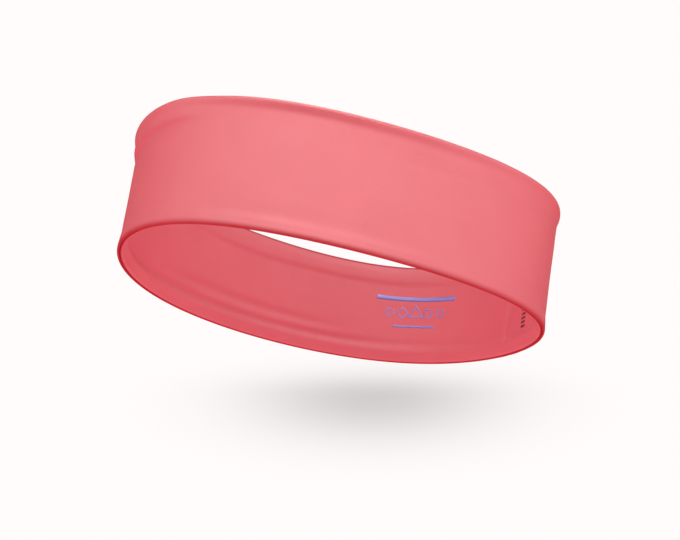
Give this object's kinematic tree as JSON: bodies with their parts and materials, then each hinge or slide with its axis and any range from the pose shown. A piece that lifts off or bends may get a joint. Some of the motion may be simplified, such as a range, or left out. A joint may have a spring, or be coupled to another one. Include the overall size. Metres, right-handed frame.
{
  "type": "spa headband",
  "caption": "Wide double-layer stretch-knit headband with turned rims and a back seam, shaped as worn around a head.",
  "frame": {"origin": "middle of the loop's bounding box, in the plane of the lower rim", "axes": "+Z along the loop's axis, upwards as worn; +X towards the nape and the back seam; -X towards the brow"},
  "size_m": [0.197, 0.161, 0.055],
  "materials": {
    "outer_knit": "smooth brushed stretch knit, coral pink, soft sheen",
    "lining_knit": "smooth stretch knit, coral pink, matt",
    "thread": "spun polyester thread, coral",
    "print_violet": "thin heat-set print film, violet",
    "print_dark": "thin heat-set print film, dark"
  },
  "bodies": {
    "root": {"outer_panel": "outer_knit", "inner_lining": "lining_knit", "upper_edge_thread": "thread", "lower_edge_thread": "thread", "upper_overlock_thread": "thread", "lower_overlock_thread": "thread", "outer_seam_stitches": "thread", "lining_seam_stitches": "thread", "care_print": "print_violet", "batch_marks": "print_dark"}
  },
  "joints": []
}
